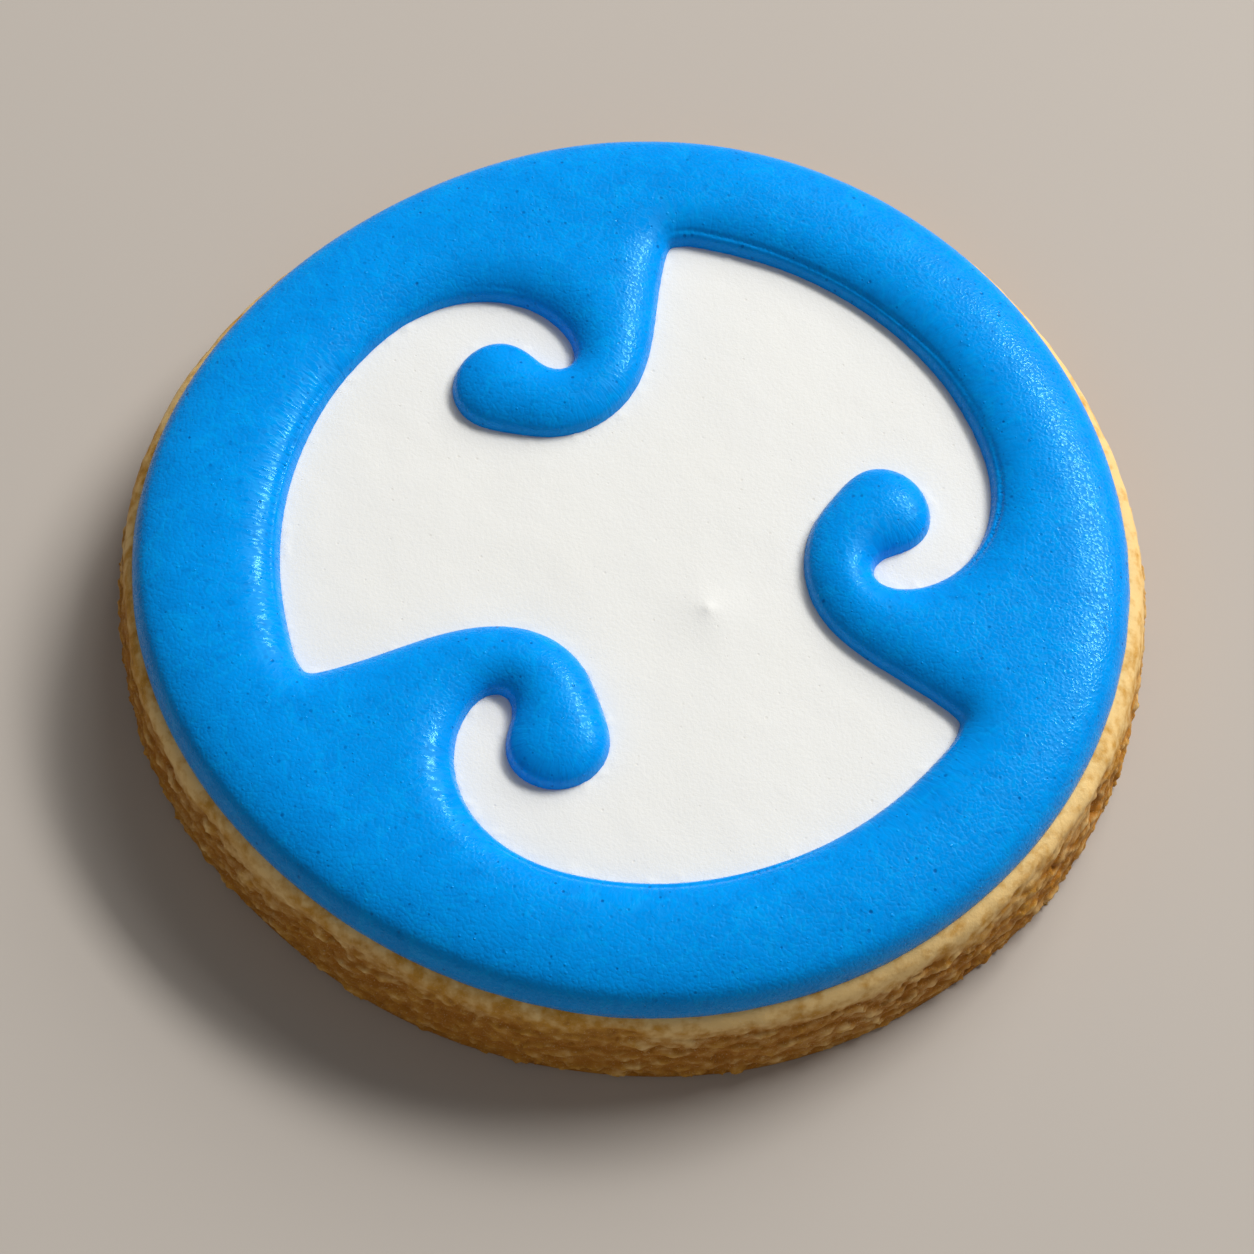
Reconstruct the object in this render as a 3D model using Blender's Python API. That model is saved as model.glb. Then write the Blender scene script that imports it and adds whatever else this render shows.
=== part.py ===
"""Iced sugar cookie: a round cut biscuit with a white iced field inside a piped blue border.

The blue border is one pour of icing. Its outer edge is round, and its inner edge rolls into three
breaking waves that follow each other round the field. Metres, +Z up, the origin at the middle of
the underside.
"""
import bmesh
import bpy
import numpy as np
from mathutils.geometry import delaunay_2d_cdt

# Driving dimensions
BISCUIT_DIAMETER = 0.0778       # a 76 mm cutter, spread a little in the oven
BISCUIT_THICKNESS = 0.0083
ICING_DIAMETER = 0.0738         # outer edge of the blue border
ICING_CENTRE = (0.0002, 0.0)
BORDER_HEIGHT = 0.0034          # crest of the blue border above the biscuit
FIELD_HEIGHT = 0.0011           # white icing above the biscuit
FIELD_DIAMETER = 0.0544         # round field that the waves roll into
FIELD_CENTRE = (0.0008, -0.0002)
GAP = 0.0003                    # clearance between pieces that touch

# Biscuit: side wall leaning in from a rounded foot to a softer shoulder
FOOT_RADIUS = 0.0006
SHOULDER_RADIUS = 0.0016
SIDE_LEAN = 0.0010
SIDE_BELLY = 0.0003             # the side swells this far past a straight lean
OUT_OF_ROUND = ((2, 0.00043, -0.1), (3, 0.00036, 3.2), (4, 0.00013, -0.6), (9, 0.00006, 1.0))
BISCUIT_SEGMENTS = 96
ARC_STEPS = 4
SIDE_STEPS = 3

# Border: a short steep edge and a long dome, each with its own way in from the edge to its full height
EDGE_SHARE = 0.32               # of the border's height
INNER_ROUND = 0.0005
OUTER_ROUND = 0.0012
INNER_SHOULDER = 0.0042
OUTER_SHOULDER = 0.0062
RIM_WAVER = ((2, 0.00017, 0.1), (3, 0.00041, 3.5), (4, 0.00022, -0.1))
RIM_SEGMENTS = 108
POINTS_PER_SPAN = 3
FINE_STEP = 0.00015             # step of the loops that distances are measured from
EDGE_ROWS = (0.0, 0.00003, 0.00014, 0.00040, 0.00095)
BORDER_MESH = 0.0019
FIELD_MESH = 0.0040
FIELD_SHOULDER = 0.0007

# One wave, clockwise: degrees from its place on the field's edge, and depth as a part of its reach.
# From the field's edge it goes into the pocket behind the crest, round the ball at the end of the
# curl, along the belly and out to the sharp root on the far side.
WAVE_REACH = 0.0160
WAVE = (
    (38.0, 0.00), (25.0, 0.00), (14.2, 0.07), (6.2, 0.20), (0.9, 0.35), (-1.8, 0.50), (-1.7, 0.62),
    (2.1, 0.67), (6.3, 0.625), (7.8, 0.51), (11.1, 0.40), (16.6, 0.345), (23.3, 0.36), (29.4, 0.45),
    (32.5, 0.60), (30.5, 0.73), (25.6, 0.85), (19.2, 0.96), (7.9, 1.02), (-4.6, 1.00), (-14.6, 0.905),
    (-20.0, 0.75), (-22.1, 0.555), (-22.6, 0.335), (-23.2, 0.155), (-23.7, 0.055), (-24.2, 0.015),
    (-25.4, 0.01), (-27.0, -0.005), (-30.0, 0.00), (-38.0, 0.00),
)
# Each wave piped by hand: place in degrees, depth and breadth against the first
WAVES = ((112.0, 1.00, 1.00), (-6.5, 0.95, 0.97), (-129.0, 1.04, 1.03))


def smooth_closed_curve(corners, per_span):
    """Cubic B-spline round a closed list of corners: each point is the usual blend of four corners."""
    t = np.linspace(0.0, 1.0, per_span, endpoint=False)[None, :, None]
    before, here, after, later = (np.roll(corners, shift, axis=0)[:, None] for shift in (1, 0, -1, -2))
    blend = ((1 - t) ** 3 * before + (3 * t**3 - 6 * t**2 + 4) * here
             + (-3 * t**3 + 3 * t**2 + 3 * t + 1) * after + t**3 * later)
    return (blend / 6).reshape(-1, 2)


def even_steps(loop, step):
    """The same closed loop with its points an even step apart."""
    closed = np.concatenate([loop, loop[:1]])
    reached = np.concatenate([[0.0], np.cumsum(np.linalg.norm(np.diff(closed, axis=0), axis=1))])
    place = np.linspace(0.0, reached[-1], int(reached[-1] / step), endpoint=False)
    return np.stack([np.interp(place, reached, closed[:, axis]) for axis in (0, 1)], axis=1)


def field_outline(per_span):
    """Inner edge of the border, clockwise: the wave's corners repeated, with arcs of the field between."""
    corners = []
    for number, (place, depth, breadth) in enumerate(WAVES):
        corners += [(place + turn * breadth, reach * depth) for turn, reach in WAVE]
        arc_start = place + WAVE[-1][0] * breadth
        next_place, _, next_breadth = WAVES[(number + 1) % len(WAVES)]
        arc_end = next_place + WAVE[0][0] * next_breadth
        arc_end -= 360.0 * np.ceil((arc_end - arc_start) / 360.0)
        corners += [(turn, 0.0) for turn in np.linspace(arc_start, arc_end, 6)[1:-1]]
    turn, reach = np.array(corners).T
    radius = FIELD_DIAMETER / 2 - WAVE_REACH * reach
    ring = np.stack([radius * np.cos(np.radians(turn)), radius * np.sin(np.radians(turn))], axis=1)
    return smooth_closed_curve(ring + FIELD_CENTRE, per_span)


def waver(angle, harmonics):
    """Small change of radius round a circle: a sum of cosines given as (number, size, phase)."""
    return sum(size * np.cos(number * angle - phase) for number, size, phase in harmonics)


def rim_outline(segments):
    """Outer edge of the border, counterclockwise."""
    angle = np.linspace(0.0, 2 * np.pi, segments, endpoint=False)
    radius = ICING_DIAMETER / 2 + waver(angle, RIM_WAVER)
    return np.stack([radius * np.cos(angle), radius * np.sin(angle)], axis=1) + ICING_CENTRE


def soft_distance(points, loop):
    """Distance to a loop, rounded off where two stretches of it are equally near.

    Every short length of the loop is weighed by the fourth power of its nearness, and the sum is
    scaled to give the true distance from a straight edge. The slope comes from the same sum.
    """
    length = np.linalg.norm(np.roll(loop, -1, axis=0) - np.roll(loop, 1, axis=0), axis=1) / 2
    away = points[:, None] - loop[None]
    square = np.maximum((away**2).sum(axis=2), 1e-14)
    weight = 2 / np.pi * length / square**2
    total = weight.sum(axis=1)
    slope = 4 / 3 * total ** (-4 / 3) * ((weight / square)[:, :, None] * away).sum(axis=1).T
    return total ** (-1 / 3), slope.T


def rows_inward(edge, fine_loop, depths):
    """Copies of an edge moved onto the icing at its left, in short steps the steepest way up.

    Ways up never cross, so a row keeps its points in order round a sharp tip as well.
    """
    along = np.roll(edge, -1, axis=0) - np.roll(edge, 1, axis=0)
    left = np.stack([-along[:, 1], along[:, 0]], axis=1) / np.linalg.norm(along, axis=1)[:, None]
    place = edge
    rows = [edge]
    for near, far in zip(depths[:-1], depths[1:]):
        steps = int(np.ceil((far - near) / FINE_STEP))
        for step in range(steps):
            if near + (far - near) * step / steps > 2 * FINE_STEP:
                _, slope = soft_distance(place, fine_loop)
                left = slope / (slope**2).sum(axis=1)[:, None]
            place = place + left * (far - near) / steps
        rows.append(place)
    return np.array(rows)


def honeycomb(radius, spacing):
    """Points on a honeycomb inside a circle: every other row is moved half a step along."""
    row_gap = spacing * np.sqrt(0.75)
    count = int(radius / row_gap) + 2
    column, row = np.meshgrid(np.arange(-count, count + 1), np.arange(-count, count + 1))
    points = np.stack([(column + row % 2 / 2) * spacing, row * row_gap], axis=-1).reshape(-1, 2)
    return points[np.hypot(*points.T) < radius]


def inside(points, loop):
    """True for each point within a closed loop: it crosses the loop an odd number of times along +X."""
    x, y = points.T[:, :, None]
    start_x, start_y = loop.T
    end_x, end_y = np.roll(loop, -1, axis=0).T
    spans = (start_y > y) != (end_y > y)
    rise = np.where(end_y == start_y, 1.0, end_y - start_y)
    crossed = spans & (x < start_x + (end_x - start_x) * (y - start_y) / rise)
    return crossed.sum(axis=1) % 2 == 1


def triangles_between(loops, loose):
    """Triangles of the loops' own points and the loose ones that lie within an odd number of loops."""
    points = np.concatenate([*loops, loose])
    edges = []
    start = 0
    for loop in loops:
        number = start + np.arange(len(loop))
        edges += np.stack([number, np.roll(number, -1)], axis=1).tolist()
        start += len(loop)
    _, _, faces, _, _, _ = delaunay_2d_cdt(points.tolist(), edges, [], 0, 1e-9)
    triangles = np.array(faces)
    doubtful = np.flatnonzero((triangles < start).all(axis=1))
    middle = points[triangles[doubtful]].mean(axis=1)
    within = np.sum([inside(middle, loop) for loop in loops], axis=0) % 2 == 1
    return np.delete(triangles, doubtful[~within], axis=0)


def start_ring(body, corners):
    """Closed ring of new corners and edges in a bmesh."""
    verts = [body.verts.new(corner) for corner in corners]
    edges = [body.edges.new(pair) for pair in zip(verts, verts[1:] + verts[:1])]
    return verts, edges


def carry_ring(body, verts, edges, corners):
    """Extrude a ring of edges and move each new corner to its own place."""
    made = bmesh.ops.extrude_edge_only(body, edges=edges)["geom"]
    fresh = {item for item in made if isinstance(item, bmesh.types.BMVert)}
    carried = []
    for vert, corner in zip(verts, corners):
        neighbours = (edge.other_vert(vert) for edge in vert.link_edges)
        moved = next(other for other in neighbours if other in fresh)
        moved.co = corner
        carried.append(moved)
    ahead = [item for item in made if isinstance(item, bmesh.types.BMEdge) and fresh.issuperset(item.verts)]
    return carried, ahead


def icing_mesh(name, edges, loose, height, floor):
    """Closed body of icing: rows extruded in from each edge, a filled top and a flat underside.

    An edge is an array of rows of plan points, the icing at its left. Its first row is the foot.
    """
    body = bmesh.new()
    foot = []
    top = []
    for rows in edges:
        levels = height(rows.reshape(-1, 2)).reshape(rows.shape[:2])
        levels[0] = floor
        corners = np.concatenate([rows, levels[..., None]], axis=2)
        verts, ring = start_ring(body, corners[0])
        foot += ring
        for row in corners[1:]:
            verts, ring = carry_ring(body, verts, ring, row)
        top += verts
    top += [body.verts.new(corner) for corner in np.column_stack([loose, height(loose)])]
    for triangle in triangles_between([rows[-1] for rows in edges], loose):
        body.faces.new([top[number] for number in triangle])
    bmesh.ops.triangle_fill(body, edges=foot, use_beauty=True, normal=(0.0, 0.0, -1.0))
    bmesh.ops.recalc_face_normals(body, faces=body.faces)
    mesh = bpy.data.meshes.new(name)
    body.to_mesh(mesh)
    body.free()
    return mesh


def swell(depth):
    """Rise of a rounded edge from 0 to 1: a quarter circle, level from depth 1 on."""
    return np.sqrt(1 - (1 - np.clip(depth, 0, 1)) ** 2)


def material(name, colour, roughness):
    """Principled material of one colour, not metallic."""
    made = bpy.data.materials.new(name)
    made.use_nodes = True
    shader = made.node_tree.nodes["Principled BSDF"]
    shader.inputs["Base Color"].default_value = (*colour, 1.0)
    shader.inputs["Roughness"].default_value = roughness
    shader.inputs["Metallic"].default_value = 0.0
    return made


def add_object(mesh, finish):
    """Shade the mesh smooth except at sharp edges and put it in the scene under its own name."""
    mesh.validate()
    mesh.shade_smooth()
    mesh.set_sharp_from_angle(angle=np.radians(50))
    mesh.materials.append(finish)
    made = bpy.data.objects.new(mesh.name, mesh)
    bpy.context.scene.collection.objects.link(made)
    return made


def biscuit_profile():
    """Half section from the flat underside to the flat top: foot arc, swelling side, shoulder arc."""
    outer = BISCUIT_DIAMETER / 2
    lean = np.arctan2(SIDE_LEAN, BISCUIT_THICKNESS - FOOT_RADIUS - SHOULDER_RADIUS)
    turn = np.linspace(-np.pi / 2, lean, ARC_STEPS)
    foot = np.stack([outer - FOOT_RADIUS * (1 - np.cos(turn)), FOOT_RADIUS * (1 + np.sin(turn))], axis=1)
    turn = np.linspace(lean, np.pi / 2, ARC_STEPS + 1)
    shoulder = np.stack([outer - SIDE_LEAN - SHOULDER_RADIUS * (1 - np.cos(turn)),
                         BISCUIT_THICKNESS - SHOULDER_RADIUS * (1 - np.sin(turn))], axis=1)
    share = np.linspace(0.0, 1.0, SIDE_STEPS + 1)[1:-1, None]
    side = foot[-1] + (shoulder[0] - foot[-1]) * share
    side[:, :1] += SIDE_BELLY * np.sin(np.pi * share)
    return np.concatenate([foot, side, shoulder])


def make_biscuit():
    """Profile spun round the middle, set a little out of round, closed by a flat top and underside."""
    body = bmesh.new()
    corners = [body.verts.new((radius, 0.0, height)) for radius, height in biscuit_profile()]
    edges = [body.edges.new(pair) for pair in zip(corners[:-1], corners[1:])]
    bmesh.ops.spin(body, geom=corners + edges, cent=(0, 0, 0), axis=(0, 0, 1), angle=2 * np.pi,
                   steps=BISCUIT_SEGMENTS, use_merge=True)
    for vert in body.verts:
        radius = np.hypot(vert.co.x, vert.co.y)
        stretch = 1 + waver(np.arctan2(vert.co.y, vert.co.x), OUT_OF_ROUND) / radius
        vert.co.x *= stretch
        vert.co.y *= stretch
    places = np.array([vert.co for vert in body.verts])
    middle = (places.max(axis=0) + places.min(axis=0)) / 2
    bmesh.ops.translate(body, verts=body.verts, vec=(-middle[0], -middle[1], 0.0))
    bmesh.ops.edgeloop_fill(body, edges=[edge for edge in body.edges if edge.is_boundary])
    bmesh.ops.recalc_face_normals(body, faces=body.faces)
    mesh = bpy.data.meshes.new("biscuit")
    body.to_mesh(mesh)
    body.free()
    return add_object(mesh, material("baked_biscuit", (0.56, 0.33, 0.13), 0.85))


def make_blue_icing():
    """Border: a puffed band from the round rim to the rolling waves, with a steep edge all round."""
    floor = BISCUIT_THICKNESS + GAP
    fine_field = even_steps(field_outline(20), FINE_STEP)
    fine_rim = even_steps(rim_outline(720), FINE_STEP)

    def height(plan):
        inner, _ = soft_distance(plan, fine_field)
        outer, _ = soft_distance(plan, fine_rim)
        nearest = (inner**-3 + outer**-3) ** (-1 / 3)
        share = outer**-3 / (inner**-3 + outer**-3)
        edge_round = INNER_ROUND + (OUTER_ROUND - INNER_ROUND) * share
        shoulder = INNER_SHOULDER + (OUTER_SHOULDER - INNER_SHOULDER) * share
        rise = EDGE_SHARE * swell(nearest / edge_round) + (1 - EDGE_SHARE) * swell(nearest / shoulder)
        return floor + (BORDER_HEIGHT - GAP) * rise

    inner_rows = rows_inward(field_outline(POINTS_PER_SPAN), fine_field, EDGE_ROWS)
    outer_rows = rows_inward(rim_outline(RIM_SEGMENTS), fine_rim, EDGE_ROWS)
    loose = honeycomb(ICING_DIAMETER / 2, BORDER_MESH)
    loose = loose[~inside(loose, fine_field)]
    clear = EDGE_ROWS[-1] + BORDER_MESH / 2
    near = np.minimum(soft_distance(loose, fine_field)[0], soft_distance(loose, fine_rim)[0])
    loose = loose[near > clear]
    mesh = icing_mesh("blue_icing", [outer_rows, inner_rows], loose, height, floor)
    return add_object(mesh, material("blue_royal_icing", (0.003, 0.27, 0.83), 0.42))


def make_white_icing():
    """Field: a flat pour that stops just short of the border and rounds over at its edge."""
    floor = BISCUIT_THICKNESS + GAP
    fine_field = even_steps(field_outline(20), FINE_STEP)
    edge = rows_inward(field_outline(POINTS_PER_SPAN)[::-1], fine_field, (0.0, GAP))[-1]
    rows = rows_inward(edge, fine_field, (GAP, GAP + 0.00006, GAP + 0.0003))

    def height(plan):
        near, _ = soft_distance(plan, fine_field)
        return floor + (FIELD_HEIGHT - GAP) * swell((near - GAP) / FIELD_SHOULDER)

    loose = honeycomb(FIELD_DIAMETER / 2, FIELD_MESH) + FIELD_CENTRE
    loose = loose[inside(loose, fine_field)]
    near, _ = soft_distance(loose, fine_field)
    loose = loose[near > GAP + FIELD_MESH / 2]
    mesh = icing_mesh("white_icing", [rows], loose, height, floor)
    return add_object(mesh, material("white_royal_icing", (0.81, 0.79, 0.75), 0.75))


for old in list(bpy.data.objects):
    bpy.data.objects.remove(old, do_unlink=True)
make_biscuit()
make_white_icing()
make_blue_icing()
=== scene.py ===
import bpy
import numpy as np
from mathutils import Matrix, Vector
from mathutils.geometry import delaunay_2d_cdt


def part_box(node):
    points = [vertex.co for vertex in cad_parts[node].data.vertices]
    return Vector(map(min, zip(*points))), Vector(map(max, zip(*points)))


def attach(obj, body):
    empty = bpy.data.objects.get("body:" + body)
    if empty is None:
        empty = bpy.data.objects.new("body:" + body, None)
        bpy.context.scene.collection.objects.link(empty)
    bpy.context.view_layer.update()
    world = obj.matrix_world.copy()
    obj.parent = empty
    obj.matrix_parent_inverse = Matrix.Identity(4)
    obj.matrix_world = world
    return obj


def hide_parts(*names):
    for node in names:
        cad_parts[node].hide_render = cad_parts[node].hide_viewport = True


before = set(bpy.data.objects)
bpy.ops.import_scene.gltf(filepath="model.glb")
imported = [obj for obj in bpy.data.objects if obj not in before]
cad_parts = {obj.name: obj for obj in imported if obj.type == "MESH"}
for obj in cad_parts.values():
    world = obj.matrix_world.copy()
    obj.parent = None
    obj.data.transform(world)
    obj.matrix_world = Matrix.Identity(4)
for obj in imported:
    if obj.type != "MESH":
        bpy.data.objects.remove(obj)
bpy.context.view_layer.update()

# ---- Biscuit ------------------------------------------------------------------------------------
# A round of rolled sugar dough, stamped with a cutter and baked until just golden. The top edge stays
# smooth and pale. The cut side breaks into flakes and crumbs, with painted amber shade in their hollows,
# and its lower left side is painted darker as shade. The underside browns evenly on the tray.

BISCUIT_LOW, BISCUIT_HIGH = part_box("biscuit")
BISCUIT_TOP = BISCUIT_HIGH[2]
BISCUIT_DIAMETER = 0.0778
# Profile of the side, and how far the fine surface runs in past it
FOOT_RADIUS = 0.0005
SHOULDER_RADIUS = 0.0016
SIDE_LEAN = 0.0010
SIDE_BELLY = 0.0003
RUN_UNDER = 0.0008
RUN_ON_TOP = 0.0010
# Points up the side and round it, and the distance between points underneath
SIDE_ROWS = 70
SIDE_COLUMNS = 1200
UNDERSIDE_SPACING = 0.0010
# Waves round the rim: how many in a turn, how far each goes out, and its phase in radians
OUT_OF_ROUND = ((2, 0.00043, -0.1), (3, 0.00036, 3.2), (4, 0.00013, -0.6), (9, 0.00006, 1.0))
# Relief, nearly all of it on the cut side
DENT_DEPTH = 0.00008
FLAKE_SIZE = 0.0021
FLAKE_DEPTH = 0.00028
CRUMB_SIZE = 0.0008
CRUMB_DEPTH = 0.00015
PIT_SIZE = 0.0013
PIT_DEPTH = 0.00032
LAYER_THICKNESS = 0.0019
LEDGE_DEPTH = 0.00020
TOP_RIPPLE_DEPTH = 0.00005
UNDERSIDE_HOLLOW_DEPTH = 0.00012
PALE_CRUST = (0.88, 0.605, 0.25)
GOLDEN_CRUST = (0.61, 0.305, 0.042)
# Painted amber shade for the hollows, pits and ledges of the cut side
AMBER_HOLLOW_SHADE = (0.40, 0.150, 0.010)
BROWN_CRUST = (0.30, 0.115, 0.014)
SUGAR_SPECK = (0.86, 0.68, 0.42)
CRUST_MOTTLES_PER_METRE = 1100.0
CRUST_GRAINS_PER_METRE = 3300.0
CRUST_GRAIN_DEPTH = 0.000022


def soft_noise(points, size, seed):
    """Value noise from -1 to 1: random heights on a cubic lattice of this size, blended smoothly between."""
    count = 64
    heights = np.random.default_rng(seed).uniform(-1.0, 1.0, (count, count, count))
    place = points / size
    cell = np.floor(place).astype(int)
    part = place - cell
    part = part * part * (3 - 2 * part)
    total = np.zeros(points.shape[:-1])
    for corner in np.ndindex(2, 2, 2):
        weight = np.where(corner, part, 1 - part).prod(axis=-1)
        total += weight * heights[tuple(np.moveaxis((cell + corner) % count, -1, 0))]
    return total


def layered_noise(points, size, seed, layers):
    """Sum of soft noise at halving sizes and halving strengths."""
    return sum(soft_noise(points, size / 2**k, seed + k) / 2**k for k in range(layers))


def crumb_lumps(points, size, seed, steepness=1.6):
    """Lumps with sharp creases: how much nearer each point is to its own lump's centre than to the next.

    One centre lies at random in every cube of a lattice. The value is 0 in the creases between
    lumps and rises to 1 on them.
    """
    count = 32
    centres = np.random.default_rng(seed).uniform(0.0, 1.0, (count, count, count, 3))
    place = points / size
    cell = np.floor(place).astype(int)
    nearest = np.full(points.shape[:-1], np.inf)
    second = nearest.copy()
    for corner in np.ndindex(3, 3, 3):
        cube = cell + corner - 1
        centre = cube + centres[tuple(np.moveaxis(cube % count, -1, 0))]
        distance = np.linalg.norm(place - centre, axis=-1)
        second = np.minimum(second, np.maximum(nearest, distance))
        nearest = np.minimum(nearest, distance)
    return np.clip((second - nearest) * steepness, 0.0, 1.0)


def smooth_step(low, high, value):
    """0 up to low, 1 from high on, and an S curve between."""
    part = np.clip((value - low) / (high - low), 0.0, 1.0)
    return part * part * (3 - 2 * part)


def waver(angle, waves):
    """How far a rim goes out of round at each angle: a sum of cosines of so many waves in a turn."""
    return sum(size * np.cos(number * angle - phase) for number, size, phase in waves)


def biscuit_section(steps):
    """Half section as (radius, height) at even steps, with the direction that the surface faces.

    It runs out under the biscuit, round the foot's arc, up the swelling side, over the shoulder's arc
    and a little way in on the top.
    """
    outer = BISCUIT_DIAMETER / 2
    lean = np.arctan2(SIDE_LEAN, BISCUIT_TOP - FOOT_RADIUS - SHOULDER_RADIUS)
    turn = np.linspace(-np.pi / 2, lean, 40)
    foot = np.stack([outer - FOOT_RADIUS * (1 - np.cos(turn)), FOOT_RADIUS * (1 + np.sin(turn))], axis=1)
    turn = np.linspace(lean, np.pi / 2, 40)
    shoulder = np.stack([outer - SIDE_LEAN - SHOULDER_RADIUS * (1 - np.cos(turn)),
                         BISCUIT_TOP - SHOULDER_RADIUS * (1 - np.sin(turn))], axis=1)
    share = np.linspace(0.0, 1.0, 60)[1:-1, None]
    side = foot[-1] + (shoulder[0] - foot[-1]) * share
    side[:, :1] += SIDE_BELLY * np.sin(np.pi * share)
    middle_of_base = foot[:1] - (RUN_UNDER, 0.0)
    middle_of_top = shoulder[-1:] - (RUN_ON_TOP, 0.0)
    line = np.concatenate([middle_of_base, foot, side, shoulder, middle_of_top])
    reached = np.concatenate([[0.0], np.cumsum(np.linalg.norm(np.diff(line, axis=0), axis=1))])
    even = np.linspace(0.0, reached[-1], steps)
    section = np.stack([np.interp(even, reached, line[:, axis]) for axis in (0, 1)], axis=1)
    along = np.gradient(section, axis=0)
    facing = np.stack([along[:, 1], -along[:, 0]], axis=1) / np.linalg.norm(along, axis=1)[:, None]
    return section, facing


def baked_and_shaded_colour(points, hollow):
    """Brownness 0 to 1: baked patches, more near the tray, with painted shade on the lower left side and in
    hollows.
    """
    height = points[..., 2] / BISCUIT_TOP
    # Painted shade: darker towards the lower left, the side turned away from the key light
    painted_shade_side = -(0.8 * points[..., 0] + 0.6 * points[..., 1]) / BISCUIT_DIAMETER
    patches = 0.20 * soft_noise(points, 0.0065, 61) + 0.24 * soft_noise(points, 0.0019, 67)
    return np.clip(0.50 - 0.36 * height + 0.26 * painted_shade_side + patches + 0.15 * hollow, 0.0, 1.0)


def biscuit_surface(segments, steps):
    """The section turned round the middle, a little out of round, then moved the way it faces by relief.

    The relief is broad dents, then on the cut side flakes and crumbs with sharp creases between them,
    pits, and wavering layers that each swell upwards and break off in a ledge. Given back with it: how
    hollow each point is, from 0 to 1.
    """
    section, facing = biscuit_section(steps)
    angle = np.linspace(0.0, 2 * np.pi, segments, endpoint=False)
    ring = np.stack([np.cos(angle), np.sin(angle)], axis=1)
    radius = section[:, :1] + waver(angle, OUT_OF_ROUND)
    base = np.empty((steps, segments, 3))
    base[..., :2] = radius[..., None] * ring
    base[..., 2] = section[:, 1:]
    base[..., :2] -= (base[..., :2].min(axis=(0, 1)) + base[..., :2].max(axis=(0, 1))) / 2
    outward = np.empty_like(base)
    outward[..., :2] = facing[:, None, :1] * ring
    outward[..., 2] = facing[:, 1:]

    height = base[..., 2] / BISCUIT_TOP
    under = smooth_step(-0.6, -0.98, outward[..., 2])
    rough = smooth_step(0.90, 0.62, height + 0.14 * soft_noise(base, 0.0042, 5))
    drift = np.stack([soft_noise(base, 0.0015, seed) for seed in (31, 32, 33)], axis=-1)
    shiver = np.stack([soft_noise(base, 0.0006, seed) for seed in (34, 35, 36)], axis=-1)
    jumbled = (base + 0.00050 * drift + 0.00022 * shiver) * (1.0, 1.0, 1.5)
    flakes = crumb_lumps(jumbled, FLAKE_SIZE, 17)
    crumbs = crumb_lumps(jumbled, CRUMB_SIZE, 23)
    pits = smooth_step(0.45, 0.90, layered_noise(jumbled, PIT_SIZE, 47, 2))
    layer = base[..., 2] / LAYER_THICKNESS
    layer = layer + 0.9 * soft_noise(base, 0.0038, 41) + 0.35 * soft_noise(base, 0.0012, 43)
    ledge = layer % 1.0
    chips = 1 + 0.6 * smooth_step(0.25, 0.0, height)
    relief = DENT_DEPTH * layered_noise(base, 0.0052, 11, 2)
    relief += rough * chips * (FLAKE_DEPTH * (flakes - 0.8) + CRUMB_DEPTH * (crumbs - 0.7) - PIT_DEPTH * pits)
    relief += rough * LEDGE_DEPTH * (ledge - 0.6)
    relief += (1 - rough) * TOP_RIPPLE_DEPTH * layered_noise(base, 0.0013, 53, 2)
    relief *= 1 - under
    points = base + outward * relief[..., None]
    points[..., 2] = np.clip(points[..., 2], 0.0, BISCUIT_TOP)
    points[..., :2] = np.clip(points[..., :2], BISCUIT_LOW[:2], BISCUIT_HIGH[:2])
    under_ledge = smooth_step(0.35, 0.0, ledge)
    hollow = 0.75 * (1.0 - flakes) + 0.45 * (1.0 - crumbs) + 0.8 * pits + 0.5 * under_ledge - 0.20
    return points, np.clip(rough * hollow, 0.0, 1.0)


def ring_faces(rows, columns):
    """Quads between the closed rings of a grid of points."""
    number = np.arange(rows * columns).reshape(rows, columns)
    ahead = np.roll(number, -1, axis=1)
    return np.stack([number[:-1], ahead[:-1], ahead[1:], number[1:]], axis=-1).reshape(-1, 4).tolist()


def honeycomb(radius, spacing):
    """Points on a honeycomb inside a circle: every other row is moved half a step along."""
    row_gap = spacing * np.sqrt(0.75)
    count = int(radius / row_gap) + 2
    column, row = np.meshgrid(np.arange(-count, count + 1), np.arange(-count, count + 1))
    points = np.stack([(column + row % 2 / 2) * spacing, row * row_gap], axis=-1).reshape(-1, 2)
    return points[np.hypot(*points.T) < radius]


def inside(points, loop, batch=4000):
    """True for each point within a closed loop: it crosses the loop an odd number of times along +X."""
    start_x, start_y = loop.T
    end_x, end_y = np.roll(loop, -1, axis=0).T
    rise = np.where(end_y == start_y, 1.0, end_y - start_y)
    within = np.empty(len(points), bool)
    for part in np.array_split(np.arange(len(points)), len(points) // batch + 1):
        x, y = points[part].T[:, :, None]
        spans = (start_y > y) != (end_y > y)
        crossed = spans & (x < start_x + (end_x - start_x) * (y - start_y) / rise)
        within[part] = crossed.sum(axis=1) % 2 == 1
    return within


def triangles_between(loops, loose):
    """Triangles of the loops' own points and the loose ones that lie within an odd number of loops."""
    points = np.concatenate([*loops, loose])
    edges = []
    start = 0
    for loop in loops:
        number = start + np.arange(len(loop))
        edges += np.stack([number, np.roll(number, -1)], axis=1).tolist()
        start += len(loop)
    _, _, faces, _, _, _ = delaunay_2d_cdt(points.tolist(), edges, [], 0, 1e-9)
    triangles = np.array(faces)
    doubtful = np.flatnonzero((triangles < start).all(axis=1))
    middle = points[triangles[doubtful]].mean(axis=1)
    within = np.sum([inside(middle, loop) for loop in loops], axis=0) % 2 == 1
    return np.delete(triangles, doubtful[~within], axis=0)


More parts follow.
